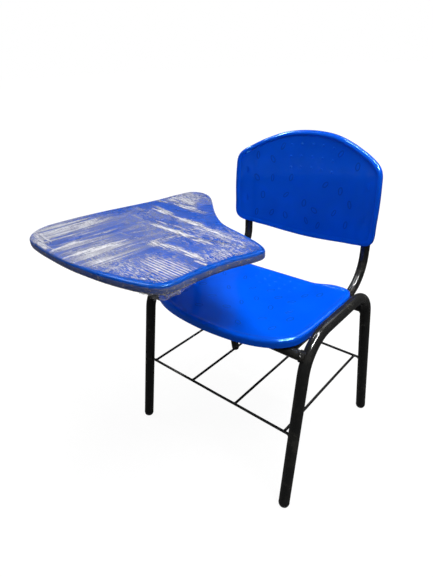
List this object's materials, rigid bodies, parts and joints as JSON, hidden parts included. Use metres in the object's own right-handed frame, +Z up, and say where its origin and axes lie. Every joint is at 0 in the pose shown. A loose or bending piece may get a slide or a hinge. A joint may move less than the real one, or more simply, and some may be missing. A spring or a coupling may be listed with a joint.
{
  "type": "student chair with writing tablet",
  "caption": "Classroom chair with a bent steel tube frame, moulded plastic seat and back, wire book rack, and a fixed writing tablet on the sitter's right, in clear stretch film.",
  "frame": {"origin": "on the floor, below the middle of the whole chair's bounding box", "axes": "+Z up, the sitter faces -Y, +X towards the sitter's left"},
  "size_m": [0.595, 0.6593, 0.7479],
  "materials": {
    "blue_plastic": "gloss injection-moulded polypropylene, strong blue",
    "blue_board": "fibreboard wrapped in a smooth blue foil, rounded edges",
    "clear_film": "clear stretch film with bright wrinkles along its pull",
    "black_enamel": "gloss black baked enamel on steel tube and rod",
    "black_plastic": "black moulded plug",
    "zinc_plate": "zinc plated steel"
  },
  "bodies": {
    "root": {"seat_shell": "blue_plastic", "back_shell": "blue_plastic", "tablet_board": "blue_board", "tablet_film": "clear_film", "side_frame_left": "black_enamel", "side_frame_right": "black_enamel", "cross_tube_front": "black_enamel", "cross_tube_rear": "black_enamel", "back_tube_left": "black_enamel", "back_tube_right": "black_enamel", "rack_rod_front": "black_enamel", "rack_rod_rear": "black_enamel", "rack_wire_1": "black_enamel", "rack_wire_2": "black_enamel", "rack_wire_3": "black_enamel", "rack_wire_4": "black_enamel", "tablet_arm_tube": "black_enamel", "tablet_strut": "black_enamel", "foot_plug_front_left": "black_plastic", "foot_plug_front_right": "black_plastic", "foot_plug_rear_left": "black_plastic", "foot_plug_rear_right": "black_plastic", "back_tube_plug_left": "black_plastic", "back_tube_plug_right": "black_plastic", "tablet_arm_plug": "black_plastic", "seat_screw_1": "zinc_plate", "seat_screw_2": "zinc_plate", "seat_screw_3": "zinc_plate", "seat_screw_4": "zinc_plate", "back_screw_1": "zinc_plate", "back_screw_2": "zinc_plate", "back_screw_3": "zinc_plate", "back_screw_4": "zinc_plate", "tablet_screw_1": "zinc_plate", "tablet_screw_2": "zinc_plate", "tablet_screw_3": "zinc_plate", "tablet_screw_4": "zinc_plate"}
  },
  "joints": []
}
